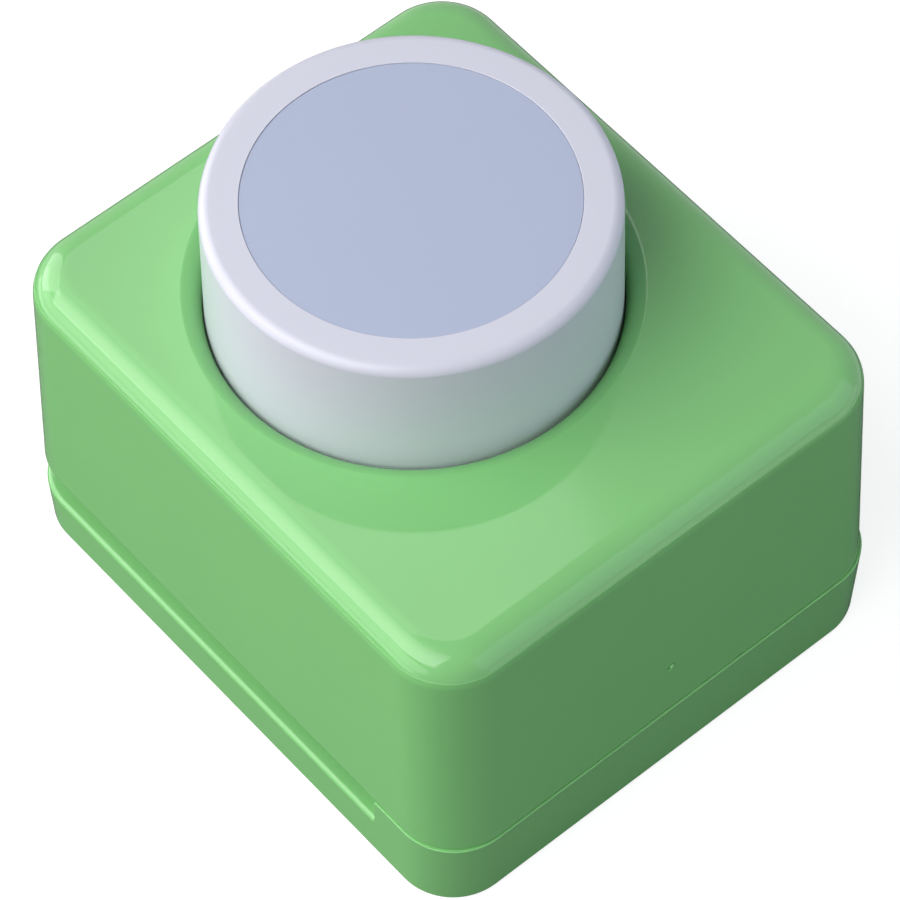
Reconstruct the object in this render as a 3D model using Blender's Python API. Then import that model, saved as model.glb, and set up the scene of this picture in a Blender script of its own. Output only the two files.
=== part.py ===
"""Circle punch: a desk punch whose large round button drives a round cutter through paper.

Metres, +Z up. The origin is the middle of the underside. The paper slot is open at the
back (+Y) and at both sides, and closed at the front (-Y). Everything that the button
moves hangs on the empty press_axis.
"""

import math

import bmesh
import bpy

# Body, as seen from outside
BODY_WIDTH = 0.068
BODY_DEPTH = 0.0792
CORNER_RADIUS = 0.0082
COVER_HEIGHT = 0.036
COVER_SIDE_DRAFT = 0.0005
COVER_END_DRAFT = 0.001
TOP_FILLET = 0.0041
COVER_WALL = 0.0022

# Paper slot
MOUTH_HEIGHT = 0.0048
PAPER_GAP = 0.002
THROAT_DEPTH = 0.0128
THROAT_STEP_DRAFT = 0.0003

# Base
BASE_LIP = 0.0002
BASE_RIM = 0.0042
BASE_SIDE_DRAFT = 0.0003
BASE_END_DRAFT = 0.0007
LEDGE_FILLET = 0.0007
SEAM_FILLET = 0.0002
FOOT_FILLET = 0.0003
FLOOR_THICKNESS = 0.002
PAD_HEIGHT = 0.0007
PAD_RADIUS = 0.0038
CHIP_CLEARANCE = 0.002

# Die set
CUT_RADIUS = 0.01905
CUT_CLEARANCE = 0.00005
DIE_THICKNESS = 0.004
DIE_LAND = 0.0022
DIE_RELIEF = 0.0006
STRIPPER_THICKNESS = 0.005
CUTTER_WALL = 0.003
CUTTER_WEB = 0.004
CUTTER_SHEAR = 0.0011
CUTTER_RETRACTION = 0.0006
PLATE_GAP = 0.0003

# Press axis and what slides on it
PRESS_Y = 0.0055
BUTTON_RADIUS = 0.02405
BUTTON_RISE = 0.0162
BUTTON_DRAFT = 0.00028
BUTTON_FILLET = 0.0013
BUTTON_WALL = 0.0018
BUTTON_CLEARANCE = 0.00025
BUTTON_RIB_THICKNESS = 0.0012
FLANGE_OVERLAP = 0.0022
FLANGE_THICKNESS = 0.002
DISC_RADIUS = 0.0192
DISC_THICKNESS = 0.0008
DISC_CLEARANCE = 0.0002
DISC_SET_BACK = 0.0003
CARRIER_THICKNESS = 0.003
EAR_RADIUS = 0.004

# Hole in the cover
LEAD_WIDTH = 0.0025
LEAD_DEPTH = 0.0025
LEAD_ROUND = 0.0003
COLLAR_DEPTH = 0.0058
COLLAR_WALL = 0.0015

# Guide posts and return springs
POST_RADIUS = 0.002
POST_CLEARANCE = 0.00095
POST_TO_BOSS = 0.0105
POST_SEAT = 0.0035
POST_END_GAP = 0.0005
POST_CHAMFER = 0.0003
POST_RUNNING_GAP = 0.00008
SPRING_WIRE_RADIUS = 0.00045
SPRING_CLEARANCE = 0.0007
SPRING_TURNS = 6
SPRING_TURN_POINTS = 8

# Screws
SHANK_RADIUS = 0.0011
HEAD_RADIUS = 0.0022
HEAD_RIM = 0.0002
HEAD_CONE = 0.0012
HEAD_RECESS = 0.0002
PAN_RADIUS = 0.0024
PAN_HEIGHT = 0.0015
TIP_CHAMFER = 0.0003
CROSS_LENGTH = 0.0024
CROSS_WIDTH = 0.0005
CROSS_DEPTH = 0.0008
THREAD_GAP = 0.0001
SCREW_SIDE_INSET = 0.0085
SCREW_END_INSET = 0.0081
DIE_SCREW_SPACING = 0.014
CUTTER_SCREW_OFFSET = 0.009
BOSS_RADIUS = 0.0032
BUTTON_BOSS_RADIUS = 0.003
COVER_SCREW_GRIP = 0.007
DIE_SCREW_GRIP = 0.0033
BASE_SCREW_GRIP = 0.0026
CUTTER_SCREW_GRIP = 0.006

# Clearances between pieces that lie against each other, and the overrun of cuts
SEAT_GAP = 0.0003
SEAM_GAP = 0.0002
OVERRUN = 0.001

# Fineness of the meshes
ROUND_SEGMENTS = 56
POST_SEGMENTS = 16
SCREW_SEGMENTS = 12
CORNER_STEPS = 6
FILLET_STEPS = 4
EDGE_STEPS = 3
CUTTER_SCREW_COUNT = 3

# Levels, from the bench up
DIE_Z = FLOOR_THICKNESS + PAD_HEIGHT + SEAT_GAP
LEDGE_Z = DIE_Z + DIE_THICKNESS
STRIPPER_Z = LEDGE_Z + PAPER_GAP
STRIPPER_TOP = STRIPPER_Z + STRIPPER_THICKNESS
COVER_Z = LEDGE_Z + MOUTH_HEIGHT
COVER_TOP = COVER_Z + COVER_HEIGHT
CEILING_Z = COVER_TOP - COVER_WALL
RAISED_Z = COVER_Z - SEAM_GAP
COLLAR_Z = COVER_TOP - COLLAR_DEPTH
BUTTON_TOP = COVER_TOP + BUTTON_RISE
FLANGE_TOP = COLLAR_Z - SEAT_GAP
BUTTON_Z = FLANGE_TOP - FLANGE_THICKNESS
CARRIER_TOP = BUTTON_Z - SEAT_GAP
CARRIER_Z = CARRIER_TOP - CARRIER_THICKNESS
CUTTER_TOP = CARRIER_Z - SEAT_GAP
CUTTER_Z = STRIPPER_Z + CUTTER_RETRACTION
WEB_Z = CUTTER_TOP - CUTTER_WEB
POST_Z = STRIPPER_TOP - POST_SEAT
POST_TOP = COLLAR_Z - POST_END_GAP
SPRING_Z = STRIPPER_TOP + SEAT_GAP
SPRING_TOP = CARRIER_Z - SEAT_GAP

# Radii that follow from the pieces inside them
HOLE_RADIUS = BUTTON_RADIUS + BUTTON_CLEARANCE
LEAD_RADIUS = HOLE_RADIUS + LEAD_WIDTH
COLLAR_RADIUS = LEAD_RADIUS + COLLAR_WALL
FLANGE_RADIUS = HOLE_RADIUS + FLANGE_OVERLAP
NOTCH_RADIUS = POST_RADIUS + POST_CLEARANCE
RECESS_RADIUS = DISC_RADIUS + DISC_CLEARANCE
RECESS_DEPTH = SEAT_GAP + DISC_THICKNESS + DISC_SET_BACK
DIE_HOLE_RADIUS = CUT_RADIUS + CUT_CLEARANCE
CHIP_RADIUS = CUT_RADIUS + CHIP_CLEARANCE
SPRING_RADIUS = POST_RADIUS + SPRING_CLEARANCE + SPRING_WIRE_RADIUS
THREAD_RADIUS = SHANK_RADIUS + THREAD_GAP

# Plan sizes of the base's hollow and of the plates in it
HOLLOW_X = BODY_WIDTH / 2 + BASE_LIP - BASE_RIM
HOLLOW_Y = BODY_DEPTH / 2 + BASE_LIP - BASE_RIM
HOLLOW_RADIUS = CORNER_RADIUS + BASE_LIP - BASE_RIM
PLATE_X = HOLLOW_X - PLATE_GAP
PLATE_Y = HOLLOW_Y - PLATE_GAP
PLATE_RADIUS = HOLLOW_RADIUS - PLATE_GAP
THROAT_Y = THROAT_DEPTH - BODY_DEPTH / 2

# Places of the repeated pieces, as (x, y)
AXIS_PLACE = (0, PRESS_Y)
CORNER_X = BODY_WIDTH / 2 - SCREW_SIDE_INSET
CORNER_Y = BODY_DEPTH / 2 - SCREW_END_INSET
CORNER_PLACES = [(x, y) for y in (-CORNER_Y, CORNER_Y) for x in (-CORNER_X, CORNER_X)]
DIE_SCREW_Y = (THROAT_Y - PLATE_Y) / 2
DIE_SCREW_PLACES = [(i * DIE_SCREW_SPACING, DIE_SCREW_Y) for i in (-1, 0, 1)]
POST_DISTANCE = BUTTON_RADIUS + POST_CLEARANCE + POST_RADIUS
POST_OFFSET_Y = CORNER_Y - PRESS_Y - POST_TO_BOSS
POST_X = math.sqrt(POST_DISTANCE**2 - POST_OFFSET_Y**2)
POST_OFFSETS = [(x, y) for y in (-POST_OFFSET_Y, POST_OFFSET_Y) for x in (-POST_X, POST_X)]
POST_PLACES = [(x, PRESS_Y + y) for x, y in POST_OFFSETS]


def circle_place(radius, index, count):
    """The (x, y) of one of several even places on a circle, the first of them at the back."""
    angle = math.pi / 2 + math.tau * index / count
    return (radius * math.cos(angle), radius * math.sin(angle))


CUTTER_SCREW_OFFSETS = [
    circle_place(CUTTER_SCREW_OFFSET, i, CUTTER_SCREW_COUNT) for i in range(CUTTER_SCREW_COUNT)
]


def linear(channel):
    """One channel of a screen colour, 0 to 255, as linear light."""
    share = channel / 255
    return share / 12.92 if share <= 0.04045 else ((share + 0.055) / 1.055) ** 2.4


def finish(name, screen_colour, roughness, metallic=0.0):
    material = bpy.data.materials.new(name)
    material.use_nodes = True
    shader = material.node_tree.nodes["Principled BSDF"]
    colour = [linear(channel) for channel in screen_colour]
    shader.inputs["Base Color"].default_value = (*colour, 1.0)
    shader.inputs["Roughness"].default_value = roughness
    shader.inputs["Metallic"].default_value = metallic
    material.diffuse_color = (*colour, 1.0)
    return material


def clear_scene():
    for thing in list(bpy.data.objects):
        bpy.data.objects.remove(thing, do_unlink=True)


def mesh_from(name, shape):
    """The mesh of a bmesh, with its faces turned outwards."""
    bmesh.ops.recalc_face_normals(shape, faces=shape.faces)
    mesh = bpy.data.meshes.new(name)
    shape.to_mesh(mesh)
    shape.free()
    return mesh


def bridge(shape, lower, upper):
    """Faces between two rings of equal length, or between a ring and a single point."""
    for i in range(max(len(lower), len(upper))):
        below = [lower[i - 1], lower[i]] if len(lower) > 1 else lower
        above = [upper[i], upper[i - 1]] if len(upper) > 1 else upper
        shape.faces.new(below + above)


def turned(name, profile, segments, places=((0, 0),)):
    """A solid turned about Z from (radius, height) points that start and end on the axis.

    It is made once at each (x, y) place.
    """
    shape = bmesh.new()
    angles = [math.tau * i / segments for i in range(segments)]
    for x, y in places:
        rings = []
        for radius, height in profile:
            spots = [(radius * math.cos(a), radius * math.sin(a)) for a in angles] if radius else [(0, 0)]
            rings.append([shape.verts.new((x + u, y + v, height)) for u, v in spots])
        for lower, upper in zip(rings, rings[1:]):
            bridge(shape, lower, upper)
    return mesh_from(name, shape)


def rod(name, radius, low, high, segments, places=((0, 0),)):
    return turned(name, [(0, low), (radius, low), (radius, high), (0, high)], segments, places)


def lofted(name, rings):
    """A solid through rings of points, each with as many points, closed at both ends."""
    shape = bmesh.new()
    layers = [[shape.verts.new(point) for point in ring] for ring in rings]
    for lower, upper in zip(layers, layers[1:]):
        bridge(shape, lower, upper)
    shape.faces.new(layers[0])
    shape.faces.new(layers[-1])
    return mesh_from(name, shape)


def prism(name, outline, low, high):
    """An outline of (x, y) points drawn up from one level to another."""
    return lofted(name, [[(x, y, z) for x, y in outline] for z in (low, high)])


def quarter(centre_x, centre_y, radius, first):
    """Points of a quarter circle, anticlockwise from the given number of quarter turns."""
    angles = [math.pi / 2 * (first + i / CORNER_STEPS) for i in range(CORNER_STEPS + 1)]
    return [(centre_x + radius * math.cos(a), centre_y + radius * math.sin(a)) for a in angles]


def rounded_rectangle(half_x, half_y, radius, centre_y=0):
    """An outline with four round corners, anticlockwise from the middle of the right side."""
    x = half_x - radius
    y = half_y - radius
    corners = [(x, y), (-x, y), (-x, -y), (x, -y)]
    return [p for i, (u, v) in enumerate(corners) for p in quarter(u, centre_y + v, radius, i)]


def fillet_profile(radius, steps):
    """(inset, drop) pairs round a quarter circle, from the wall up to the flat top."""
    angles = [math.pi / 2 * i / steps for i in range(steps + 1)]
    return [(radius * (1 - math.cos(a)), radius * (1 - math.sin(a))) for a in angles]


def combined(mesh, operation, *tools):
    """The mesh after one Boolean with each tool's mesh."""
    for tool in tools:
        target = bpy.data.objects.new(mesh.name, mesh)
        other = bpy.data.objects.new(tool.name, tool)
        for thing in (target, other):
            bpy.context.scene.collection.objects.link(thing)
        modifier = target.modifiers.new(tool.name, "BOOLEAN")
        modifier.operation = operation
        modifier.solver = "EXACT"
        modifier.object = other
        graph = bpy.context.evaluated_depsgraph_get()
        result = bpy.data.meshes.new_from_object(target.evaluated_get(graph))
        result.name = mesh.name
        for thing in (target, other):
            bpy.data.objects.remove(thing, do_unlink=True)
        mesh = result
    return mesh


def piece(name, mesh, material, location=(0, 0, 0), parent=None):
    """One named node, shaded smooth except at its edges."""
    if not mesh.materials:
        mesh.materials.append(material)
    mesh.shade_smooth()
    mesh.set_sharp_from_angle(angle=math.radians(35))
    made = bpy.data.objects.new(name, mesh)
    made.location = location
    made.parent = parent
    bpy.context.scene.collection.objects.link(made)
    return made


def cover_ring(inset, z):
    """The cover's outline at a height, drawn in by the drafts and by a further inset."""
    rise_share = (z - COVER_Z) / COVER_HEIGHT
    half_x = BODY_WIDTH / 2 - COVER_SIDE_DRAFT * rise_share - inset
    half_y = BODY_DEPTH / 2 - COVER_END_DRAFT * rise_share - inset
    return [(x, y, z) for x, y in rounded_rectangle(half_x, half_y, CORNER_RADIUS - inset)]


def cover_shell(name, inset, bottom, top, fillet):
    """A block with the cover's form, drawn in by an inset on all sides."""
    rings = [cover_ring(inset, bottom)]
    rings += [cover_ring(inset + i, top - drop) for i, drop in fillet_profile(fillet, FILLET_STEPS)]
    return lofted(name, rings)


def button_hole():
    """The cut for the button: a round-edged cone that leads in to a straight hole."""
    slope = math.atan2(LEAD_DEPTH, LEAD_WIDTH)
    reach = LEAD_ROUND * math.tan(slope / 2)
    profile = [
        (0, COLLAR_Z - OVERRUN),
        (HOLE_RADIUS, COLLAR_Z - OVERRUN),
        (HOLE_RADIUS, COVER_TOP - LEAD_DEPTH),
        (LEAD_RADIUS - reach * math.cos(slope), COVER_TOP - reach * math.sin(slope)),
        (LEAD_RADIUS + reach, COVER_TOP),
        (LEAD_RADIUS + reach, COVER_TOP + OVERRUN),
        (0, COVER_TOP + OVERRUN),
    ]
    return turned("button_hole", profile, ROUND_SEGMENTS, [AXIS_PLACE])


def make_cover(material):
    shell = cover_shell("cover", 0, COVER_Z, COVER_TOP, TOP_FILLET)
    hollow = cover_shell(
        "cover_hollow", COVER_WALL, COVER_Z - OVERRUN, CEILING_Z, TOP_FILLET - COVER_WALL
    )
    high = CEILING_Z + COVER_WALL / 2
    collar = rod("collar", COLLAR_RADIUS, COLLAR_Z, high, ROUND_SEGMENTS, [AXIS_PLACE])
    boss_z = STRIPPER_TOP + SEAT_GAP
    bosses = rod("bosses", BOSS_RADIUS, boss_z, high, POST_SEGMENTS, CORNER_PLACES)
    pilot_top = boss_z + COVER_SCREW_GRIP + SEAT_GAP
    pilots = rod(
        "pilots", THREAD_RADIUS, boss_z - OVERRUN, pilot_top, SCREW_SEGMENTS, CORNER_PLACES
    )
    shell = combined(shell, "DIFFERENCE", hollow)
    shell = combined(shell, "UNION", collar, bosses)
    shell = combined(shell, "DIFFERENCE", button_hole(), pilots)
    piece("cover", shell, material)


def base_outline(inset, z):
    """The base's outline at a height, with a point at each end of both throat steps."""
    fall_share = 1 - z / RAISED_Z
    half_x = BODY_WIDTH / 2 + BASE_LIP - BASE_SIDE_DRAFT * fall_share - inset
    half_y = BODY_DEPTH / 2 + BASE_LIP - BASE_END_DRAFT * fall_share - inset
    points = rounded_rectangle(half_x, half_y, CORNER_RADIUS + BASE_LIP - inset)
    half = len(points) // 2
    step_y = THROAT_Y + THROAT_STEP_DRAFT
    right = [(half_x, THROAT_Y), (half_x, step_y)]
    left = [(-half_x, step_y), (-half_x, THROAT_Y)]
    return right + points[:half] + left + points[half:]


def rim_ring(ledge_step, raised_step):
    """A ring of the rim, low along the slot and raised at the throat, from (inset, drop) pairs."""
    rings = []
    for level, (inset, drop) in ((LEDGE_Z, ledge_step), (RAISED_Z, raised_step)):
        z = level - drop
        rings.append([(x, y, z) for x, y in base_outline(inset, z)])
    low, raised = rings
    half = len(low) // 2
    return raised[:1] + low[1 : half + 1] + raised[half + 1 :]


def hollow_ring(z=None):
    """The hollow's outline, at one level or along the rim."""
    outline = rounded_rectangle(HOLLOW_X, HOLLOW_Y, HOLLOW_RADIUS)
    half = len(outline) // 2
    step_y = THROAT_Y + THROAT_STEP_DRAFT
    rim = [(HOLLOW_X, THROAT_Y, RAISED_Z), (HOLLOW_X, step_y, LEDGE_Z)]
    rim += [(x, y, LEDGE_Z) for x, y in outline[:half]]
    rim += [(-HOLLOW_X, step_y, LEDGE_Z), (-HOLLOW_X, THROAT_Y, RAISED_Z)]
    rim += [(x, y, RAISED_Z) for x, y in outline[half:]]
    return rim if z is None else [(x, y, z) for x, y, _ in rim]


def countersinks(name, low, shank_top, places):
    """Cuts for countersunk screws that go in from below at a level."""
    seat = low + HEAD_RECESS + HEAD_RIM
    profile = [
        (0, low - OVERRUN),
        (HEAD_RADIUS + THREAD_GAP, low - OVERRUN),
        (HEAD_RADIUS + THREAD_GAP, seat),
        (THREAD_RADIUS, seat + HEAD_CONE),
        (THREAD_RADIUS, shank_top),
        (0, shank_top),
    ]
    return turned(name, profile, SCREW_SEGMENTS, places)


def make_base(material):
    feet = [(x, y, 0) for x, y in base_outline(FOOT_FILLET, 0)]
    wall = [(x, y, FOOT_FILLET) for x, y in base_outline(0, FOOT_FILLET)]
    ledge_steps = fillet_profile(LEDGE_FILLET, EDGE_STEPS)
    raised_steps = fillet_profile(SEAM_FILLET, EDGE_STEPS)
    rings = [feet, wall, *map(rim_ring, ledge_steps, raised_steps)]
    rings += [hollow_ring(), hollow_ring(FLOOR_THICKNESS)]
    tray = lofted("base", rings)
    pad_top = FLOOR_THICKNESS + PAD_HEIGHT
    pads = rod(
        "pads", PAD_RADIUS, FLOOR_THICKNESS / 2, pad_top, POST_SEGMENTS, CORNER_PLACES
    )
    chip_hole = rod(
        "chip_hole", CHIP_RADIUS, -OVERRUN, pad_top + OVERRUN, ROUND_SEGMENTS, [AXIS_PLACE]
    )
    holes = countersinks("base_holes", 0, pad_top + OVERRUN, CORNER_PLACES)
    tray = combined(tray, "UNION", pads)
    piece("base", combined(tray, "DIFFERENCE", chip_hole, holes), material)


def plate(name, low, high):
    return prism(name, rounded_rectangle(PLATE_X, PLATE_Y, PLATE_RADIUS), low, high)


def make_die_plate(material):
    """The lower plate, whose round hole is straight at the top and relieved below."""
    profile = [
        (0, DIE_Z - OVERRUN),
        (DIE_HOLE_RADIUS + DIE_RELIEF, DIE_Z - OVERRUN),
        (DIE_HOLE_RADIUS, LEDGE_Z - DIE_LAND),
        (DIE_HOLE_RADIUS, LEDGE_Z + OVERRUN),
        (0, LEDGE_Z + OVERRUN),
    ]
    hole = turned("die_hole", profile, ROUND_SEGMENTS, [AXIS_PLACE])
    threads = rod(
        "base_threads",
        THREAD_RADIUS,
        DIE_Z - OVERRUN,
        DIE_Z + BASE_SCREW_GRIP + SEAT_GAP,
        SCREW_SEGMENTS,
        CORNER_PLACES,
    )
    sinks = countersinks("die_sinks", DIE_Z, LEDGE_Z + OVERRUN, DIE_SCREW_PLACES)
    body = plate("die_plate", DIE_Z, LEDGE_Z)
    piece("die_plate", combined(body, "DIFFERENCE", hole, threads, sinks), material)


def make_throat_spacer(material):
    """The bar between the plates that closes the slot at the front and stops the paper."""
    low = LEDGE_Z + SEAT_GAP
    high = STRIPPER_Z - SEAT_GAP
    half_y = (PLATE_Y + THROAT_Y) / 2
    outline = rounded_rectangle(PLATE_X, half_y, PLATE_RADIUS, DIE_SCREW_Y)
    holes = rod(
        "spacer_holes", THREAD_RADIUS, low - OVERRUN, high + OVERRUN, SCREW_SEGMENTS, DIE_SCREW_PLACES
    )
    bar = combined(prism("throat_spacer", outline, low, high), "DIFFERENCE", holes)
    piece("throat_spacer", bar, material)


def make_stripper_plate(material):
    """The upper plate, which guides the cutter and carries the posts."""
    low = STRIPPER_Z - OVERRUN
    high = STRIPPER_TOP + OVERRUN
    hole = rod("cutter_hole", DIE_HOLE_RADIUS, low, high, ROUND_SEGMENTS, [AXIS_PLACE])
    seats = rod(
        "post_seats", POST_RADIUS + THREAD_GAP, POST_Z - SEAT_GAP, high, POST_SEGMENTS, POST_PLACES
    )
    thread_top = STRIPPER_Z + DIE_SCREW_GRIP + SEAT_GAP
    threads = rod("die_threads", THREAD_RADIUS, low, thread_top, SCREW_SEGMENTS, DIE_SCREW_PLACES)
    sinks = countersinks("cover_sinks", STRIPPER_Z, high, CORNER_PLACES)
    body = plate("stripper_plate", STRIPPER_Z, STRIPPER_TOP)
    piece("stripper_plate", combined(body, "DIFFERENCE", hole, seats, threads, sinks), material)


def make_cutter(material, axis):
    """A steel cup, open below, whose edge is ground hollow so that it shears the paper."""
    profile = [
        (0, CUTTER_TOP),
        (CUT_RADIUS, CUTTER_TOP),
        (CUT_RADIUS, CUTTER_Z),
        (CUT_RADIUS - CUTTER_WALL, CUTTER_Z),
        (CUT_RADIUS - CUTTER_WALL, WEB_Z),
        (0, WEB_Z),
    ]
    cup = turned("punch_cutter", profile, ROUND_SEGMENTS)
    reach = CUT_RADIUS + OVERRUN
    slope_share = CUTTER_SHEAR / CUT_RADIUS
    ridge = [
        (-reach, CUTTER_Z - slope_share * OVERRUN),
        (0, CUTTER_Z + CUTTER_SHEAR),
        (reach, CUTTER_Z - slope_share * OVERRUN),
        (reach, CUTTER_Z - OVERRUN),
        (-reach, CUTTER_Z - OVERRUN),
    ]
    hollow = lofted("shear_hollow", [[(x, y, z) for y, z in ridge] for x in (-reach, reach)])
    holes = rod(
        "web_holes",
        THREAD_RADIUS,
        WEB_Z - OVERRUN,
        CUTTER_TOP + OVERRUN,
        SCREW_SEGMENTS,
        CUTTER_SCREW_OFFSETS,
    )
    piece("punch_cutter", combined(cup, "DIFFERENCE", hollow, holes), material, parent=axis)


def make_carrier(material, axis):
    """The plate that carries the cutter and slides on the posts."""
    low = CARRIER_Z - OVERRUN
    high = CARRIER_TOP + OVERRUN
    outline = rounded_rectangle(POST_X + EAR_RADIUS, POST_OFFSET_Y + EAR_RADIUS, EAR_RADIUS)
    body = prism("punch_carrier", outline, CARRIER_Z, CARRIER_TOP)
    post_holes = rod(
        "post_holes", POST_RADIUS + POST_RUNNING_GAP, low, high, POST_SEGMENTS, POST_OFFSETS
    )
    screw_holes = rod(
        "screw_holes", THREAD_RADIUS, low, high, SCREW_SEGMENTS, CUTTER_SCREW_OFFSETS
    )
    body = combined(body, "DIFFERENCE", post_holes, screw_holes)
    piece("punch_carrier", body, material, parent=axis)


def button_profile():
    """The button's section: rim, side, flange, hollow below and recess above."""
    top_radius = BUTTON_RADIUS - BUTTON_DRAFT
    edge = fillet_profile(BUTTON_FILLET, FILLET_STEPS)
    recess_z = BUTTON_TOP - RECESS_DEPTH
    inner_radius = top_radius - BUTTON_WALL
    return [
        (0, recess_z - BUTTON_WALL),
        (inner_radius, recess_z - BUTTON_WALL),
        (inner_radius, BUTTON_Z),
        (FLANGE_RADIUS, BUTTON_Z),
        (FLANGE_RADIUS, FLANGE_TOP),
        (BUTTON_RADIUS, FLANGE_TOP),
        *[(top_radius - inset, BUTTON_TOP - drop) for inset, drop in edge],
        (RECESS_RADIUS, BUTTON_TOP),
        (RECESS_RADIUS, recess_z),
        (0, recess_z),
    ]


def button_rib(index):
    """One web from a screw boss out to the wall, which carries the push down to the boss."""
    x, y = circle_place(1, index, CUTTER_SCREW_COUNT)
    reach = BUTTON_RADIUS - BUTTON_DRAFT - BUTTON_WALL / 2
    side = BUTTON_RIB_THICKNESS / 2
    corners = [
        (CUTTER_SCREW_OFFSET, -side),
        (reach, -side),
        (reach, side),
        (CUTTER_SCREW_OFFSET, side),
    ]
    outline = [(x * u - y * v, y * u + x * v) for u, v in corners]
    rib_top = BUTTON_TOP - RECESS_DEPTH - BUTTON_WALL / 2
    return prism(f"rib_{index}", outline, FLANGE_TOP, rib_top)


def make_button(material, axis):
    cup = turned("push_button", button_profile(), ROUND_SEGMENTS)
    boss_top = BUTTON_TOP - RECESS_DEPTH - BUTTON_WALL / 2
    bosses = rod(
        "button_bosses",
        BUTTON_BOSS_RADIUS,
        BUTTON_Z,
        boss_top,
        POST_SEGMENTS,
        CUTTER_SCREW_OFFSETS,
    )
    ribs = [button_rib(i) for i in range(CUTTER_SCREW_COUNT)]
    pilots = rod(
        "button_pilots",
        THREAD_RADIUS,
        BUTTON_Z - OVERRUN,
        BUTTON_Z + CUTTER_SCREW_GRIP + SEAT_GAP,
        SCREW_SEGMENTS,
        CUTTER_SCREW_OFFSETS,
    )
    notches = rod(
        "notches",
        NOTCH_RADIUS,
        BUTTON_Z - OVERRUN,
        FLANGE_TOP + OVERRUN,
        POST_SEGMENTS,
        POST_OFFSETS,
    )
    cup = combined(cup, "UNION", bosses, *ribs)
    cup = combined(cup, "DIFFERENCE", pilots, notches)
    piece("push_button", cup, material, parent=axis)


def make_disc(material, axis):
    """The flat disc let into the button, with a slightly broken upper edge."""
    low = BUTTON_TOP - RECESS_DEPTH + SEAT_GAP
    high = low + DISC_THICKNESS
    edge = DISC_CLEARANCE / 2
    profile = [
        (0, low),
        (DISC_RADIUS, low),
        (DISC_RADIUS, high - edge),
        (DISC_RADIUS - edge, high),
        (0, high),
    ]
    piece("button_disc", turned("button_disc", profile, ROUND_SEGMENTS), material, parent=axis)


def make_posts(material):
    """Four posts, pressed into the stripper plate and chamfered at both ends."""
    length = POST_TOP - POST_Z
    profile = [
        (0, 0),
        (POST_RADIUS - POST_CHAMFER, 0),
        (POST_RADIUS, POST_CHAMFER),
        (POST_RADIUS, length - POST_CHAMFER),
        (POST_RADIUS - POST_CHAMFER, length),
        (0, length),
    ]
    mesh = turned("guide_post", profile, POST_SEGMENTS)
    for i, (x, y) in enumerate(POST_PLACES):
        piece(f"guide_post_{i + 1}", mesh, material, (x, y, POST_Z))


def spring_points():
    """The middle of the wire, from the lowest point of the spring to its highest."""
    height = SPRING_TOP - SPRING_Z - 2 * SPRING_WIRE_RADIUS
    count = SPRING_TURNS * SPRING_TURN_POINTS
    points = []
    for i in range(count + 1):
        angle = math.tau * i / SPRING_TURN_POINTS
        x = SPRING_RADIUS * math.cos(angle)
        y = SPRING_RADIUS * math.sin(angle)
        points.append((x, y, SPRING_WIRE_RADIUS + height * i / count))
    return points


def least_gap(points):
    """The least distance between the wire's surface and itself, a turn or more along."""
    far = SPRING_TURN_POINTS // 2
    pairs = ((p, q) for i, p in enumerate(points) for q in points[i + far :])
    return min(math.dist(p, q) for p, q in pairs) - 2 * SPRING_WIRE_RADIUS


def make_springs(material):
    """Four compression springs round the posts, each one tube."""
    points = spring_points()
    print(f"least gap of a return spring to itself: {least_gap(points) * 1000:.2f} mm")
    curve = bpy.data.curves.new("return_spring", "CURVE")
    curve.dimensions = "3D"
    curve.bevel_depth = SPRING_WIRE_RADIUS
    curve.bevel_resolution = 1
    curve.use_fill_caps = True
    line = curve.splines.new("POLY")
    line.points.add(len(points) - 1)
    for spot, point in zip(line.points, points):
        spot.co = (*point, 1.0)
    curve.materials.append(material)
    for i, (x, y) in enumerate(POST_PLACES):
        spring = bpy.data.objects.new(f"return_spring_{i + 1}", curve)
        spring.location = (x, y, SPRING_Z)
        bpy.context.scene.collection.objects.link(spring)


def cross_recess():
    """The cross that a driver fits, cut up into a head from its face."""
    long = CROSS_LENGTH / 2
    short = CROSS_WIDTH / 2
    quarter_outline = [(long, -short), (long, short), (short, short)]
    outline = []
    for _ in range(4):
        outline += quarter_outline
        quarter_outline = [(-y, x) for x, y in quarter_outline]
    return prism("cross_recess", outline, -OVERRUN, CROSS_DEPTH)


def screw_tip(length):
    return [
        (SHANK_RADIUS, length - TIP_CHAMFER),
        (SHANK_RADIUS - TIP_CHAMFER, length),
        (0, length),
    ]


def countersunk_screw(name, length):
    """A screw that points up, with the flat face of its head at height zero."""
    profile = [(0, 0), (HEAD_RADIUS, 0), (HEAD_RADIUS, HEAD_RIM)]
    profile += [(SHANK_RADIUS, HEAD_RIM + HEAD_CONE), *screw_tip(length)]
    return combined(turned(name, profile, SCREW_SEGMENTS), "DIFFERENCE", cross_recess())


def pan_screw(name, length):
    """A screw that points up, with a low round head below height zero."""
    profile = [
        (0, -PAN_HEIGHT),
        (PAN_RADIUS - TIP_CHAMFER, -PAN_HEIGHT),
        (PAN_RADIUS, TIP_CHAMFER - PAN_HEIGHT),
        (PAN_RADIUS, 0),
        (SHANK_RADIUS, 0),
        *screw_tip(length),
    ]
    recess = cross_recess()
    for vertex in recess.vertices:
        vertex.co.z -= PAN_HEIGHT
    return combined(turned(name, profile, SCREW_SEGMENTS), "DIFFERENCE", recess)


def place_screws(name, mesh, places, z, material, parent=None):
    for i, (x, y) in enumerate(places):
        piece(f"{name}_{i + 1}", mesh, material, (x, y, z), parent)


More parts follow.
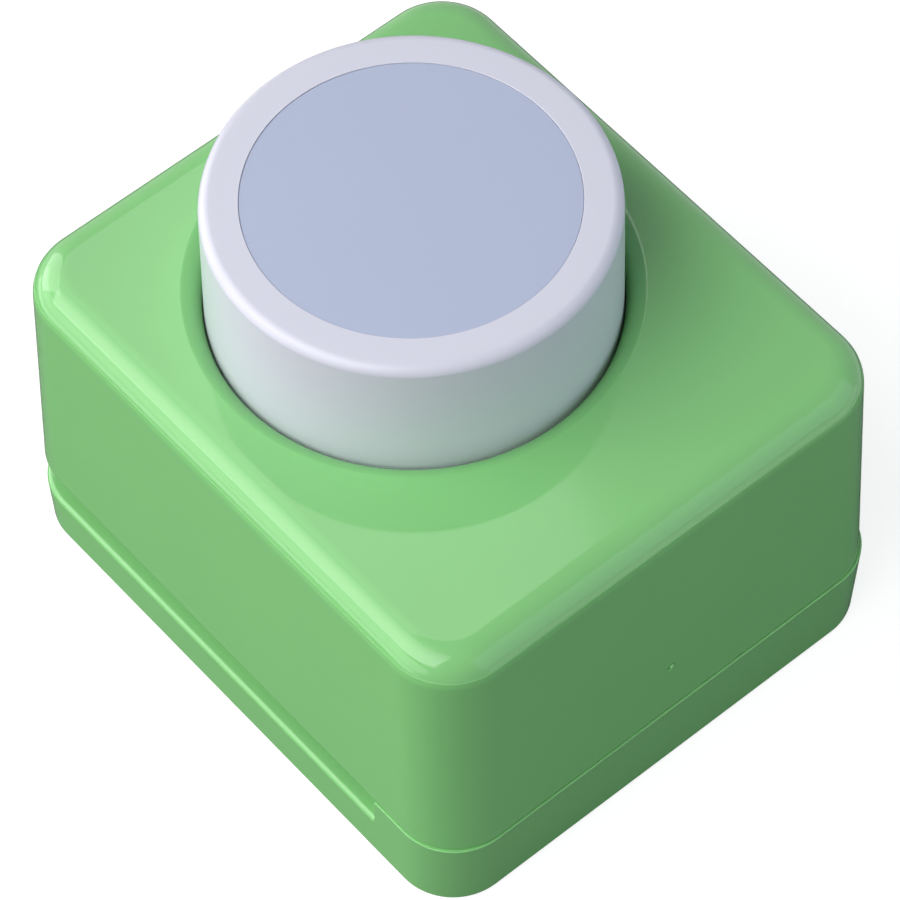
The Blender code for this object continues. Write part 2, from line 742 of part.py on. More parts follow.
def make_screws(material, axis):
    face = STRIPPER_Z + HEAD_RECESS
    length = STRIPPER_TOP + SEAT_GAP + COVER_SCREW_GRIP - face
    place_screws(
        "cover_screw", countersunk_screw("cover_screw", length), CORNER_PLACES, face, material
    )
    face = DIE_Z + HEAD_RECESS
    length = STRIPPER_Z + DIE_SCREW_GRIP - face
    place_screws(
        "die_screw", countersunk_screw("die_screw", length), DIE_SCREW_PLACES, face, material
    )
    length = DIE_Z + BASE_SCREW_GRIP - HEAD_RECESS
    place_screws(
        "base_screw", countersunk_screw("base_screw", length), CORNER_PLACES, HEAD_RECESS, material
    )
    seat = WEB_Z - SEAT_GAP
    length = BUTTON_Z + CUTTER_SCREW_GRIP - seat
    place_screws(
        "cutter_screw", pan_screw("cutter_screw", length), CUTTER_SCREW_OFFSETS, seat, material, axis
    )


def main():
    clear_scene()
    axis = bpy.data.objects.new("press_axis", None)
    axis.location = (*AXIS_PLACE, 0)
    bpy.context.scene.collection.objects.link(axis)
    green = finish("green_plastic", (122, 199, 106), 0.16)
    white = finish("white_plastic", (226, 228, 236), 0.14)
    blue = finish("blue_disc", (176, 187, 210), 0.3)
    die_steel = finish("die_steel", (150, 152, 155), 0.34, 1.0)
    cutter_steel = finish("cutter_steel", (186, 188, 191), 0.2, 1.0)
    spring_steel = finish("spring_steel", (168, 170, 174), 0.26, 1.0)
    screw_steel = finish("screw_steel", (196, 196, 192), 0.3, 1.0)
    make_cover(green)
    make_base(green)
    make_die_plate(die_steel)
    make_throat_spacer(die_steel)
    make_stripper_plate(die_steel)
    make_posts(cutter_steel)
    make_springs(spring_steel)
    make_cutter(cutter_steel, axis)
    make_carrier(die_steel, axis)
    make_button(white, axis)
    make_disc(blue, axis)
    make_screws(screw_steel, axis)


main()
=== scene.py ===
"""Looks of the circle punch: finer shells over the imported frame, materials, light and camera.

Metres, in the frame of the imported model: +Z up, the underside at zero, the paper slot open
at the back (+Y) and at both sides.
"""

import math

import bmesh
import bpy
from mathutils import Matrix, Quaternion, Vector


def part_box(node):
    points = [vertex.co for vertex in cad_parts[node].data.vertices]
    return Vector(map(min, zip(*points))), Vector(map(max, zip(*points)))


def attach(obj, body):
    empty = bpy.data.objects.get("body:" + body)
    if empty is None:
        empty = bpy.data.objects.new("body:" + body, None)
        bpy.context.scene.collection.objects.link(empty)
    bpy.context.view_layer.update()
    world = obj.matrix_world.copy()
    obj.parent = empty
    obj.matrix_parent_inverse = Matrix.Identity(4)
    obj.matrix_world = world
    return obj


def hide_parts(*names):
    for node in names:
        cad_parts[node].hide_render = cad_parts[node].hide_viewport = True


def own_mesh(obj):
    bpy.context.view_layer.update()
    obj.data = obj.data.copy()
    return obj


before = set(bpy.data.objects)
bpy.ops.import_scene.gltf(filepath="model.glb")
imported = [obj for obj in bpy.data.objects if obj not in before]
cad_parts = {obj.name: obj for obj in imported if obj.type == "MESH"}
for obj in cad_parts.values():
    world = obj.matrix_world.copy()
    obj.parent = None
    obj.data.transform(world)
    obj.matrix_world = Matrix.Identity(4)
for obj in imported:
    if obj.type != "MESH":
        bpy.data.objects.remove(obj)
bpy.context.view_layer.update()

# Camera: where it looks, from how far and from which side
TARGET = Vector((-0.001289, -0.001947, 0.02392))
CAMERA_DISTANCE = 0.61355
CAMERA_YAW = math.radians(39.48)
CAMERA_ELEVATION = math.radians(55.48)
CAMERA_ROLL = math.radians(-1.19)
LENS_MM = 210.37
SENSOR_MM = 36
CAMERA_NEAR = 0.01
CAMERA_FAR = 50

# Levels and outlines, read from the frame
COVER_LOW, COVER_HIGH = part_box("cover")
_, BASE_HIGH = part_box("base")
BUTTON_LOW, BUTTON_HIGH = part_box("push_button")
DISC_LOW, DISC_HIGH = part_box("button_disc")
_, DIE_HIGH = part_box("die_plate")
_, STRIPPER_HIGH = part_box("stripper_plate")
_, CUTTER_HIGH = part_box("punch_cutter")
_, SPACER_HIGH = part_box("throat_spacer")
PRESS_Y = (DISC_LOW.y + DISC_HIGH.y) / 2
AXIS_PLACE = (0, PRESS_Y)
COVER_TOP = COVER_HIGH.z
COVER_Z = COVER_LOW.z
LEDGE_Z = DIE_HIGH.z
RAISED_Z = BASE_HIGH.z
THROAT_Y = SPACER_HIGH.y

# Cover
CORNER_RADIUS = 0.0082
CORNER_TAPER = 0.0004
SIDE_DRAFT = 0.0005
END_DRAFT = 0.001
TOP_FILLET = 0.0041
COVER_WALL = 0.0022
COVER_EDGE = 0.0001
COLLAR_DEPTH = 0.0058
COLLAR_WALL = 0.0015
LEAD_WIDTH = 0.0025
LEAD_FIRST_SLOPE = math.radians(12)
LEAD_LAST_SLOPE = math.radians(80)
BOSS_RADIUS = 0.0032
# The parting line's width, and the step of the top fillet that it follows
LINE_WIDTH = 0.00004
LINE_STEP = 3
# The moulding gate's mark on the front
GATE_Z = 0.0201
GATE_RADIUS = 0.0008
GATE_DEPTH = 0.0002
NUB_RADIUS = 0.00036
NUB_RISE = 0.00024
NUB_ROUND_SHARE = 0.7

# Base
BASE_LIP = 0.000195
BASE_CORNER_RADIUS = 0.0076
BASE_RIM = 0.0042
BASE_SIDE_DRAFT = 0.0003
BASE_END_DRAFT = 0.0007
LEDGE_FILLET = 0.0007
SEAM_FILLET = 0.00014
FOOT_FILLET = 0.0003
STEP_CREST = 0.00045
STEP_FOOT = 0.0004
FLOOR_THICKNESS = 0.002
PAD_HEIGHT = 0.0007
PAD_RADIUS = 0.0038
CHIP_CLEARANCE = 0.002
CHIP_EDGE = 0.0003

# Button and disc
BUTTON_RADIUS = 0.02405
BUTTON_CLEARANCE = 0.00007
BUTTON_DRAFT = 0.00028
BUTTON_FILLET = 0.0013
BUTTON_WALL = 0.0018
FLANGE_THICKNESS = 0.002
FLANGE_ROUND = 0.0003
RECESS_ROUND = 0.00006
DISC_CLEARANCE = 0.00004
DISC_RISE = 0.0002
DISC_EDGE = 0.00006
SEAT_GAP = 0.0003
RIB_THICKNESS = 0.0012
BUTTON_BOSS_RADIUS = 0.003
CUTTER_SCREW_COUNT = 3
CUTTER_SCREW_OFFSET = 0.009
NOTCH_RADIUS = 0.00295

# Screws and their holes
CORNER_SCREW_COUNT = 4
SHANK_RADIUS = 0.0011
HEAD_RADIUS = 0.0022
HEAD_RIM = 0.0002
HEAD_CONE = 0.0012
HEAD_RECESS = 0.0002
THREAD_GAP = 0.0001
SCREW_GRIP = 0.007

# Guide posts and the return springs round them
POST_COUNT = 4
WIRE_RADIUS = 0.00045
SPRING_TURNS = 6

# How far cutting tools reach past what they cut
OVERRUN = 0.001

# Light
LIGHT_AIM = Vector((0, 0, 0.03))
LIGHT_DISTANCE = 0.9
CARD_DISTANCE = 0.17
WHITE = (1, 1, 1)
KEY_COLOUR = (1.0, 0.97, 0.985)
FILL_COLOUR = (0.82, 0.9, 1.0)
FILL_LEVEL = 0.06
FLOOR_SHADE = 0.25
FLOOR_SEEN_SHADE = 0.35
# In reflections the floor is painted darker than the camera sees it: a painted shade near the object,
# with a white glow beyond it
FLOOR_MIRRORED_SHADE = 0.2
FLOOR_GLOW = 0.8
FLOOR_DROP = 0.0001
# Painted shade in the floor's reflections: its middle, its radius and the width of its soft edge
PAINTED_SHADE_MIDDLE = Vector((-0.023, 0.02, 0))
PAINTED_SHADE_RADIUS = 0.13
PAINTED_SHADE_EDGE = 0.02
FLOOR_SIZE = 4.0
FADE_START = 0.4

# Lamp panels: name, azimuth, elevation, width, height, radiance and further settings
PANELS = [
    ("key", 168, 52, 1.25, 0.8, 4.2, dict(colour=KEY_COLOUR, roll=12, fade=0.7, rays="diffuse")),
    ("key_gloss", 168, 50, 1.15, 0.75, 4.6, dict(colour=KEY_COLOUR, roll=12, fade=0.4, rays="gloss")),
    ("side", 150, 10, 2.2, 0.5, 1.08, dict(rays="diffuse")),
    ("side_gloss", 150, 8, 2.2, 0.55, 1.9, dict(rays="gloss")),
    ("side_card", 150, -5, 0.3, 0.03, 1.8, dict(rays="gloss", distance=CARD_DISTANCE)),
    ("corner", 112, 12, 0.62, 0.55, 2.15, dict(rays="diffuse")),
    ("corner_gloss", 104, 24, 0.62, 0.75, 3.2, dict(rays="gloss")),
    ("back_gloss", 80, 58, 0.56, 0.4, 1.7, dict(rays="gloss")),
    ("front", 300, 20, 1.1, 0.8, 1.0, dict(colour=FILL_COLOUR)),
    ("front_card", 300, -5, 0.2, 0.03, 0.8, dict(rays="gloss", distance=CARD_DISTANCE)),
    ("right", 345, 6, 0.9, 0.4, 2.6, dict(colour=FILL_COLOUR, rays="diffuse")),
]

# Plastics: screen colours, gloss, faint shades and ripple
PLASTICS = {
    "green_plastic": dict(
        colour=(122, 191, 116), roughness=0.06, shade=0.03, ripple=0.02, specular=0.4
    ),
    "white_plastic": dict(
        colour=(203, 205, 217), roughness=0.24, shade=0.01, ripple=0.01, specular=0.22
    ),
    "blue_disc": dict(
        colour=(166, 176, 199), roughness=0.36, shade=0.01, ripple=0.01, specular=0.4
    ),
}
FLOW_SCALE = 45.0
FLOW_DETAIL = 3.0
FINE_SCALE = 900.0
FINE_DETAIL = 2.0
WAVE_SCALE = 180.0
WAVE_DETAIL = 1.0
WAVE_HEIGHT = 0.0002
PLASTIC_GLOSS_SPREAD = 0.15

# Steels: screen colours, gloss, and the grain's scale along x, y and z
STEELS = {
    "die_steel": dict(colour=(150, 152, 155), roughness=0.34, streaks=(60, 6000, 6000)),
    "cutter_steel": dict(colour=(186, 188, 191), roughness=0.2, streaks=(400, 400, 9000)),
    "spring_steel": dict(colour=(168, 170, 174), roughness=0.26, streaks=(2000, 2000, 2000)),
    "screw_steel": dict(colour=(196, 196, 192), roughness=0.3, streaks=(3000, 3000, 3000)),
}
STEEL_DARK_SHARE = 0.85
STEEL_LIGHT_SHARE = 1.12
STEEL_GLOSS_SPREAD = 0.3
STEEL_BUMP_SHARE = 0.15
STEEL_GRAIN_HEIGHT = 0.00005
STEEL_DETAIL = 5.0

# Fineness of the meshes
ROUND_SEGMENTS = 192
CORNER_STEPS = 24
FILLET_STEPS = 16
EDGE_STEPS = 6
SMALL_SEGMENTS = 32
TURN_POINTS = 32
WIRE_SEGMENTS = 12
SHARP_ANGLE = math.radians(35)

# Sizes and places that follow from these
HOLE_RADIUS = BUTTON_RADIUS + BUTTON_CLEARANCE
LEAD_RADIUS = HOLE_RADIUS + LEAD_WIDTH
THREAD_RADIUS = SHANK_RADIUS + THREAD_GAP
HALF_WIDTH = COVER_HIGH.x
HALF_DEPTH = COVER_HIGH.y
HOLLOW_X = HALF_WIDTH + BASE_LIP - BASE_RIM
HOLLOW_Y = HALF_DEPTH + BASE_LIP - BASE_RIM
HOLLOW_RADIUS = CORNER_RADIUS + BASE_LIP - BASE_RIM


def middle(node):
    """The (x, y) middle of a CAD node."""
    low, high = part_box(node)
    return ((low.x + high.x) / 2, (low.y + high.y) / 2)


CORNER_PLACES = [middle(f"base_screw_{i + 1}") for i in range(CORNER_SCREW_COUNT)]
POST_PLACES = [middle(f"guide_post_{i + 1}") for i in range(POST_COUNT)]


def circle_place(radius, index, count):
    """The (x, y) of one of several places spread evenly round the press axis."""
    angle = math.pi / 2 + math.tau * index / count
    return (radius * math.cos(angle), PRESS_Y + radius * math.sin(angle))


CUTTER_SCREW_PLACES = [
    circle_place(CUTTER_SCREW_OFFSET, i, CUTTER_SCREW_COUNT) for i in range(CUTTER_SCREW_COUNT)
]


def make_camera():
    """The camera, from the fit of the solid to the photograph."""
    sin_yaw, cos_yaw = math.sin(CAMERA_YAW), math.cos(CAMERA_YAW)
    flat = math.cos(CAMERA_ELEVATION)
    back = Vector((-sin_yaw * flat, -cos_yaw * flat, math.sin(CAMERA_ELEVATION)))
    right = Vector((cos_yaw, -sin_yaw, 0))
    up = back.cross(right)
    upright = Matrix((right, up, back)).transposed().to_4x4()
    data = bpy.data.cameras.new("camera")
    data.sensor_width = SENSOR_MM
    data.lens = LENS_MM
    data.clip_start = CAMERA_NEAR
    data.clip_end = CAMERA_FAR
    camera = bpy.data.objects.new("camera", data)
    place = Matrix.Translation(TARGET + back * CAMERA_DISTANCE)
    camera.matrix_world = place @ upright @ Matrix.Rotation(CAMERA_ROLL, 4, "Z")
    bpy.context.scene.collection.objects.link(camera)
    bpy.context.scene.camera = camera


def mesh_from(name, shape):
    """The mesh of a bmesh, with its faces turned outwards."""
    bmesh.ops.recalc_face_normals(shape, faces=shape.faces)
    mesh = bpy.data.meshes.new(name)
    shape.to_mesh(mesh)
    shape.free()
    return mesh


def bridge(shape, lower, upper):
    """Faces between two rings of equal length, or between a ring and a single point."""
    for i in range(max(len(lower), len(upper))):
        below = [lower[i - 1], lower[i]] if len(lower) > 1 else lower
        above = [upper[i], upper[i - 1]] if len(upper) > 1 else upper
        shape.faces.new(below + above)


def turned(name, profile, segments, places=((0, 0),)):
    """A solid turned about Z from (radius, height) points that start and end on the axis."""
    shape = bmesh.new()
    angles = [math.tau * i / segments for i in range(segments)]
    for x, y in places:
        rings = []
        for radius, height in profile:
            spots = [(0, 0)]
            if radius:
                spots = [(radius * math.cos(a), radius * math.sin(a)) for a in angles]
            rings.append([shape.verts.new((x + u, y + v, height)) for u, v in spots])
        for lower, upper in zip(rings, rings[1:]):
            bridge(shape, lower, upper)
    return mesh_from(name, shape)


def rod(name, radius, low, high, segments, places=((0, 0),)):
    """A round rod at each place."""
    return turned(name, [(0, low), (radius, low), (radius, high), (0, high)], segments, places)


def lofted(name, rings):
    """A solid through rings of points, each with as many points, closed at both ends."""
    shape = bmesh.new()
    layers = [[shape.verts.new(point) for point in ring] for ring in rings]
    for lower, upper in zip(layers, layers[1:]):
        bridge(shape, lower, upper)
    shape.faces.new(layers[0])
    shape.faces.new(layers[-1])
    return mesh_from(name, shape)


def prism(name, outline, low, high):
    """A solid with upright walls on an outline of (x, y) points."""
    return lofted(name, [[(x, y, z) for x, y in outline] for z in (low, high)])


def quarter(centre_x, centre_y, radius, first, steps):
    """Points of a quarter circle, anticlockwise from the given number of quarter turns."""
    angles = [math.pi / 2 * (first + i / steps) for i in range(steps + 1)]
    return [(centre_x + radius * math.cos(a), centre_y + radius * math.sin(a)) for a in angles]


def rounded_rectangle(half_x, half_y, radius, steps=CORNER_STEPS):
    """An outline with four round corners, anticlockwise from the back end of the right side."""
    x = half_x - radius
    y = half_y - radius
    corners = [(x, y), (-x, y), (-x, -y), (x, -y)]
    return [p for i, (u, v) in enumerate(corners) for p in quarter(u, v, radius, i, steps)]


def fillet_profile(radius, steps):
    """(inset, drop) pairs round a quarter circle, from the wall up to the flat top."""
    angles = [math.pi / 2 * i / steps for i in range(steps + 1)]
    return [(radius * (1 - math.cos(a)), radius * (1 - math.sin(a))) for a in angles]


def rounded_profile(points, radii, steps=EDGE_STEPS):
    """A profile of (radius, height) points whose inner corners are rounded by the given radii."""
    made = [points[0]]
    for before, corner, after, radius in zip(points, points[1:], points[2:], radii):
        if not radius:
            made.append(corner)
            continue
        here = Vector(corner)
        into = (Vector(before) - here).normalized()
        out = (Vector(after) - here).normalized()
        half = into.angle(out) / 2
        reach = radius / math.tan(half)
        centre = here + (into + out).normalized() * (radius / math.sin(half))
        first = (here + into * reach - centre).normalized()
        last = (here + out * reach - centre).normalized()
        for i in range(steps + 1):
            made.append(tuple(centre + first.slerp(last, i / steps) * radius))
    made.append(points[-1])
    return made


def combined(mesh, operation, *tools):
    """The mesh after one Boolean with each tool's mesh."""
    for tool in tools:
        target = bpy.data.objects.new(mesh.name, mesh)
        other = bpy.data.objects.new(tool.name, tool)
        for thing in (target, other):
            bpy.context.scene.collection.objects.link(thing)
        modifier = target.modifiers.new(tool.name, "BOOLEAN")
        modifier.operation = operation
        modifier.solver = "EXACT"
        modifier.object = other
        graph = bpy.context.evaluated_depsgraph_get()
        result = bpy.data.meshes.new_from_object(target.evaluated_get(graph))
        result.name = mesh.name
        for thing in (target, other):
            bpy.data.objects.remove(thing, do_unlink=True)
        mesh = result
    return mesh


def dressed(name, mesh, material, slot, body, *nodes):
    """One visible piece, shaded smooth except at its edges, that stands for CAD nodes."""
    mesh.materials.clear()
    mesh.materials.append(material)
    mesh.shade_smooth()
    mesh.set_sharp_from_angle(angle=SHARP_ANGLE)
    made = bpy.data.objects.new(name, mesh)
    bpy.context.scene.collection.objects.link(made)
    weighted = made.modifiers.new("weighted_normals", "WEIGHTED_NORMAL")
    weighted.keep_sharp = True
    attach(made, body)
    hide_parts(*nodes)
    return made


def cover_ring(inset, z):
    """The cover's outline at a height, drawn in by the drafts and by a further inset."""
    rise_share = (z - COVER_Z) / (COVER_TOP - COVER_Z)
    half_x = HALF_WIDTH - SIDE_DRAFT * rise_share - inset
    half_y = HALF_DEPTH - END_DRAFT * rise_share - inset
    radius = CORNER_RADIUS - CORNER_TAPER * (1 - rise_share) - inset
    return [(x, y, z) for x, y in rounded_rectangle(half_x, half_y, radius)]


def cover_shell(name, inset, bottom, top, fillet, edge=0.0, line=0.0):
    """A solid of the cover's shape, with a rounded lower edge and a parting line if they are given.

    The parting line is a step inwards by its width.
    """
    rings = []
    if edge:
        lower = reversed(fillet_profile(edge, EDGE_STEPS))
        rings += [cover_ring(inset + i, bottom + drop) for i, drop in lower]
    else:
        rings.append(cover_ring(inset, bottom))
    for i, (run, drop) in enumerate(fillet_profile(fillet, FILLET_STEPS)):
        rings.append(cover_ring(inset + run + (line if i > LINE_STEP else 0), top - drop))
        if line and i == LINE_STEP:
            rings.append(cover_ring(inset + run + line, top - drop + line / 2))
    return lofted(name, rings)


def make_gate_mark(shell):
    """The cover with the shallow dimple and nub that the moulding gate left on its front."""
    share = (GATE_Z - COVER_Z) / (COVER_TOP - COVER_Z)
    wall = -(HALF_DEPTH - END_DRAFT * share)
    place = Matrix.Translation((0, wall, GATE_Z)) @ Matrix.Rotation(math.pi / 2, 4, "X")
    bowl = [
        (GATE_RADIUS * math.sin(a), GATE_DEPTH * (1 - math.cos(a) * 2))
        for a in [math.pi / 2 * i / EDGE_STEPS for i in range(EDGE_STEPS + 1)]
    ]
    root = -GATE_DEPTH * 2
    dimple = turned("dimple", [*bowl, (0, GATE_DEPTH)], SMALL_SEGMENTS)
    nub = turned(
        "nub",
        rounded_profile(
            [(0, root), (NUB_RADIUS, root), (NUB_RADIUS, NUB_RISE), (0, NUB_RISE)],
            [0, NUB_RADIUS * NUB_ROUND_SHARE],
        ),
        SMALL_SEGMENTS,
    )
    for tool in (dimple, nub):
        tool.transform(place)
    return combined(combined(shell, "DIFFERENCE", dimple), "UNION", nub)


def make_cover(material):
    """The shell with its collar round the button, screw bosses and lead-in ring."""
    shell = cover_shell("cover", 0, COVER_Z, COVER_TOP, TOP_FILLET, COVER_EDGE, LINE_WIDTH)
    ceiling = COVER_TOP - COVER_WALL
    hollow = cover_shell(
        "cover_hollow", COVER_WALL, COVER_Z - OVERRUN, ceiling, TOP_FILLET - COVER_WALL
    )
    high = ceiling + COVER_WALL / 2
    collar_z = COVER_TOP - COLLAR_DEPTH
    collar_radius = LEAD_RADIUS + COLLAR_WALL
    collar = rod("collar", collar_radius, collar_z, high, ROUND_SEGMENTS, [AXIS_PLACE])
    boss_z = STRIPPER_HIGH.z + SEAT_GAP
    bosses = rod("bosses", BOSS_RADIUS, boss_z, high, SMALL_SEGMENTS, CORNER_PLACES)
    pilot_top = boss_z + SCREW_GRIP + SEAT_GAP
    pilots = rod(
        "pilots", THREAD_RADIUS, boss_z - OVERRUN, pilot_top, SMALL_SEGMENTS, CORNER_PLACES
    )
    bend = LEAD_WIDTH / (math.sin(LEAD_LAST_SLOPE) - math.sin(LEAD_FIRST_SLOPE))
    lead_in = [(0, collar_z - OVERRUN), (HOLE_RADIUS, collar_z - OVERRUN)]
    for i in range(FILLET_STEPS + 1):
        slope = LEAD_LAST_SLOPE + (LEAD_FIRST_SLOPE - LEAD_LAST_SLOPE) * i / FILLET_STEPS
        inset = bend * (math.sin(slope) - math.sin(LEAD_FIRST_SLOPE))
        drop = bend * (math.cos(LEAD_FIRST_SLOPE) - math.cos(slope))
        lead_in.append((LEAD_RADIUS - inset, COVER_TOP - drop))
    lead_in += [(LEAD_RADIUS, COVER_TOP + OVERRUN), (0, COVER_TOP + OVERRUN)]
    hole = turned("button_hole", lead_in, ROUND_SEGMENTS, [AXIS_PLACE])
    shell = combined(shell, "DIFFERENCE", hollow)
    shell = combined(shell, "UNION", collar, bosses)
    shell = combined(shell, "DIFFERENCE", hole, pilots)
    shell = make_gate_mark(shell)
    dressed("cover_shell", shell, material, "green_plastic", "body", "cover")


def step_path():
    """(y, z, up_y, up_z, fillet, foot_y) along the right rim, over the step to the ledge.

    The foot's y lies so that the wall below the step's fillets doesn't fold.
    """
    path = []
    for i in range(EDGE_STEPS + 1):
        share = i / EDGE_STEPS
        angle = math.pi / 2 * (1 - share)
        y = THROAT_Y - STEP_CREST + STEP_CREST * math.cos(angle)
        z = RAISED_Z - STEP_CREST + STEP_CREST * math.sin(angle)
        path.append((y, z, math.cos(angle), math.sin(angle), SEAM_FILLET, y - STEP_CREST))
    for i in range(EDGE_STEPS + 1):
        share = i / EDGE_STEPS
        angle = math.pi / 2 * share
        y = THROAT_Y + STEP_FOOT - STEP_FOOT * math.cos(angle)
        z = LEDGE_Z + STEP_FOOT - STEP_FOOT * math.sin(angle)
        fillet = SEAM_FILLET + (LEDGE_FILLET - SEAM_FILLET) * share**2
        foot_y = y - math.cos(angle) * fillet
        path.append((y, z, math.cos(angle), math.sin(angle), fillet, foot_y))
    return path


def rim_path():
    """The rim as (spot, out, up, fillet, foot), anticlockwise from the right throat step.

    The outline is at the rim's widest, out points away from the base and up away from the
    rim's face. The foot is the lower end of the wall below the spot.
    """
    half_x = HALF_WIDTH + BASE_LIP
    half_y = HALF_DEPTH + BASE_LIP
    radius = BASE_CORNER_RADIUS
    outline = rounded_rectangle(half_x, half_y, radius)
    normals = rounded_rectangle(1, 1, 1)
    flat = Vector((0, 0, 1))
    plain = [(Vector((*p, 0)), Vector((*n, 0))) for p, n in zip(outline, normals)]
    half = len(plain) // 2
    right = []
    for y, z, up_y, up_z, fillet, foot_y in step_path():
        spot = Vector((half_x, y, z))
        foot = Vector((half_x, foot_y, 0))
        right.append((spot, Vector((1, 0, 0)), Vector((0, up_y, up_z)), fillet, foot))
    left = [
        (Vector((-spot.x, spot.y, spot.z)), -out, up, fillet, Vector((-foot.x, foot.y, 0)))
        for spot, out, up, fillet, foot in reversed(right)
    ]
    back = [(p + flat * LEDGE_Z, n, flat, LEDGE_FILLET, p) for p, n in plain[:half]]
    front = [(p + flat * RAISED_Z, n, flat, SEAM_FILLET, p) for p, n in plain[half:]]
    return right + back + left + front


def drafted(point):
    """A point of the base's outside, drawn in by the draft for its height."""
    fall_share = 1 - point.z / RAISED_Z
    x_share = 1 - BASE_SIDE_DRAFT * fall_share / (HALF_WIDTH + BASE_LIP)
    y_share = 1 - BASE_END_DRAFT * fall_share / (HALF_DEPTH + BASE_LIP)
    return Vector((point.x * x_share, point.y * y_share, point.z))


def at_level(point, z):
    """The point moved up or down to a height."""
    return Vector((point.x, point.y, z))


def make_base(material):
    """The tray with its screw pads and the round way out for the punched circles."""
    path = rim_path()
    rings = []
    for inset, drop in reversed(fillet_profile(FOOT_FILLET, EDGE_STEPS)):
        rings.append([drafted(at_level(foot - out * inset, drop)) for _, out, _, _, foot in path])
    for inset_share, drop_share in fillet_profile(1, EDGE_STEPS):
        rings.append(
            [
                drafted(p - out * inset_share * fillet - up * drop_share * fillet)
                for p, out, up, fillet, _ in path
            ]
        )
    inner = rounded_rectangle(HOLLOW_X, HOLLOW_Y, HOLLOW_RADIUS)
    half = len(inner) // 2
    steps = (len(path) - len(inner)) // 2
    rim = [p for p, *_ in path]
    hollow = [Vector((HOLLOW_X, p.y, p.z)) for p in rim[:steps]]
    hollow += [Vector((x, y, p.z)) for (x, y), p in zip(inner[:half], rim[steps : steps + half])]
    hollow += [Vector((-HOLLOW_X, p.y, p.z)) for p in rim[steps + half : 2 * steps + half]]
    hollow += [Vector((x, y, p.z)) for (x, y), p in zip(inner[half:], rim[2 * steps + half :])]
    rings.append(hollow)
    rings.append([at_level(p, FLOOR_THICKNESS) for p in hollow])
    tray = lofted("base", rings)
    pad_top = FLOOR_THICKNESS + PAD_HEIGHT
    pads = rod("pads", PAD_RADIUS, FLOOR_THICKNESS / 2, pad_top, SMALL_SEGMENTS, CORNER_PLACES)
    chip_radius = CUTTER_HIGH.x + CHIP_CLEARANCE
    chip = rounded_profile(
        [
            (0, -OVERRUN),
            (chip_radius + OVERRUN, -OVERRUN),
            (chip_radius + OVERRUN, 0),
            (chip_radius, 0),
            (chip_radius, pad_top + OVERRUN),
            (0, pad_top + OVERRUN),
        ],
        [0, 0, CHIP_EDGE, 0],
    )
    chip_hole = turned("chip_hole", chip, ROUND_SEGMENTS, [AXIS_PLACE])
    seat = HEAD_RECESS + HEAD_RIM
    sink = [
        (0, -OVERRUN),
        (HEAD_RADIUS + THREAD_GAP, -OVERRUN),
        (HEAD_RADIUS + THREAD_GAP, seat),
        (THREAD_RADIUS, seat + HEAD_CONE),
        (THREAD_RADIUS, pad_top + OVERRUN),
        (0, pad_top + OVERRUN),
    ]
    sinks = turned("sinks", sink, SMALL_SEGMENTS, CORNER_PLACES)
    tray = combined(tray, "UNION", pads)
    tray = combined(tray, "DIFFERENCE", chip_hole, sinks)
    dressed("base_tray", tray, material, "green_plastic", "body", "base")


def make_button(material):
    """The hollow cap with its flange, screw bosses and ribs."""
    top = BUTTON_HIGH.z
    top_radius = BUTTON_RADIUS - BUTTON_DRAFT
    recess_z = DISC_LOW.z - SEAT_GAP
    recess_radius = DISC_HIGH.x + DISC_CLEARANCE
    inner = top_radius - BUTTON_WALL
    flange_top = BUTTON_LOW.z + FLANGE_THICKNESS
    flange_radius = BUTTON_HIGH.x
    profile = rounded_profile(
        [
            (0, recess_z - BUTTON_WALL),
            (inner, recess_z - BUTTON_WALL),
            (inner, BUTTON_LOW.z),
            (flange_radius, BUTTON_LOW.z),
            (flange_radius, flange_top),
            (BUTTON_RADIUS, flange_top),
            (top_radius, top),
            (recess_radius, top),
            (recess_radius, recess_z),
            (0, recess_z),
        ],
        [FLANGE_ROUND, FLANGE_ROUND, FLANGE_ROUND, FLANGE_ROUND, 0, BUTTON_FILLET, RECESS_ROUND, 0],
        FILLET_STEPS,
    )
    cup = turned("push_button", profile, ROUND_SEGMENTS, [AXIS_PLACE])
    boss_top = recess_z - BUTTON_WALL / 2
    bosses = rod(
        "button_bosses", BUTTON_BOSS_RADIUS, BUTTON_LOW.z, boss_top,
        SMALL_SEGMENTS, CUTTER_SCREW_PLACES,
    )
    ribs = []
    side = RIB_THICKNESS / 2
    reach = top_radius - BUTTON_WALL / 2
    for i in range(CUTTER_SCREW_COUNT):
        u, v = circle_place(1, i, CUTTER_SCREW_COUNT)
        v -= PRESS_Y
        corners = [
            (CUTTER_SCREW_OFFSET, -side), (reach, -side), (reach, side), (CUTTER_SCREW_OFFSET, side)
        ]
        outline = [(a * u - b * v, PRESS_Y + a * v + b * u) for a, b in corners]
        ribs.append(prism(f"rib_{i}", outline, flange_top, boss_top))
    pilots = rod(
        "button_pilots", THREAD_RADIUS, BUTTON_LOW.z - OVERRUN, BUTTON_LOW.z + SCREW_GRIP,
        SMALL_SEGMENTS, CUTTER_SCREW_PLACES,
    )
    notches = rod(
        "notches", NOTCH_RADIUS, BUTTON_LOW.z - OVERRUN, flange_top + OVERRUN,
        SMALL_SEGMENTS, POST_PLACES,
    )
    cup = combined(cup, "UNION", bosses, *ribs)
    cup = combined(cup, "DIFFERENCE", pilots, notches)
    dressed("button_cap", cup, material, "white_plastic", "button", "push_button")


def make_disc(material):
    """The disc, set a little higher in its recess than the solid, as the photograph shows it."""
    top = DISC_HIGH.z + DISC_RISE
    profile = rounded_profile(
        [(0, DISC_LOW.z), (DISC_HIGH.x, DISC_LOW.z), (DISC_HIGH.x, top), (0, top)],
        [DISC_EDGE, DISC_EDGE],
    )
    disc = turned("button_disc", profile, ROUND_SEGMENTS, [AXIS_PLACE])
    dressed("inlaid_disc", disc, material, "blue_disc", "button", "button_disc")


